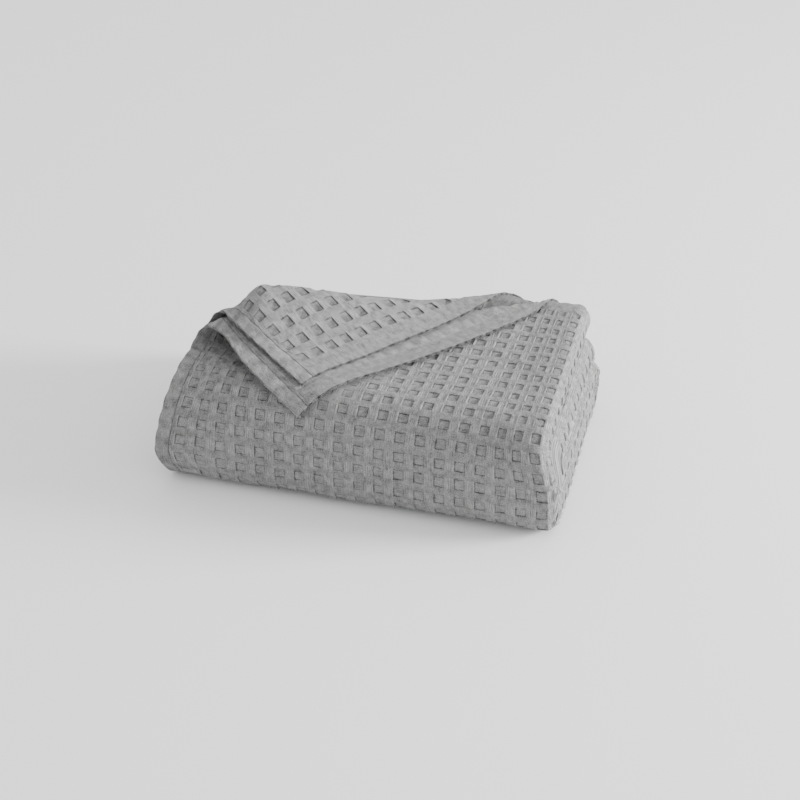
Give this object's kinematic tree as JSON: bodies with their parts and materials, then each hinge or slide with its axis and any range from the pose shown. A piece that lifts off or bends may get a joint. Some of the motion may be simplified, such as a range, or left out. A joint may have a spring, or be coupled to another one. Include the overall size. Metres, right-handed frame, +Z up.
{
  "type": "folded blanket",
  "caption": "Grey waffle-weave cotton blanket for a single bed, folded into a neat bundle with one corner turned back.",
  "frame": {"origin": "the middle of the bundle's box, on the surface that it rests on", "axes": "+X along the bundle's long side toward its closed right end, +Y toward the end hems at the back, +Z up"},
  "size_m": [0.4154, 0.3008, 0.1737],
  "materials": {
    "cotton": "matte waffle weave"
  },
  "bodies": {
    "root": {"blanket": "cotton"}
  },
  "joints": []
}
